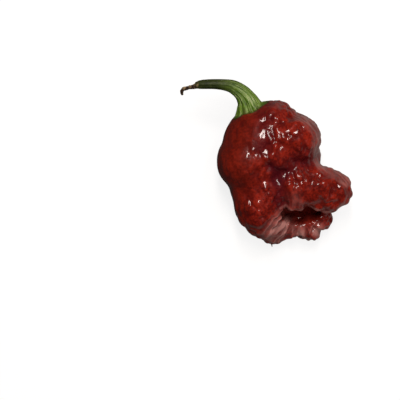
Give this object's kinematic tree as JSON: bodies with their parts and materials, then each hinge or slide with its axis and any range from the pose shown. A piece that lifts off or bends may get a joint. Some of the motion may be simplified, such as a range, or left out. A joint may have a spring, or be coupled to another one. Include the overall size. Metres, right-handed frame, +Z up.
{
  "type": "seven pot brain strain pepper",
  "caption": "Wrinkled, pinched hot pepper pod with a puckered hollow at the blossom end, a green calyx and a curved stem, lying on its side",
  "frame": {"origin": "middle of the bounding box, at the surface the pepper lies on", "axes": "+Z up from the surface, which is the shortest extent; the stem end points to +Y and -X, the puckered blossom end to -Y, the widest lobe to +X"},
  "size_m": [0.0609, 0.0588, 0.0304],
  "materials": {
    "red_skin": "deep red, glossy, bumpy natural skin",
    "green_stem": "green, satin, with fine ribs, dry and brown at the cut end"
  },
  "bodies": {
    "root": {"pod": "red_skin", "stem": "green_stem"}
  },
  "joints": []
}
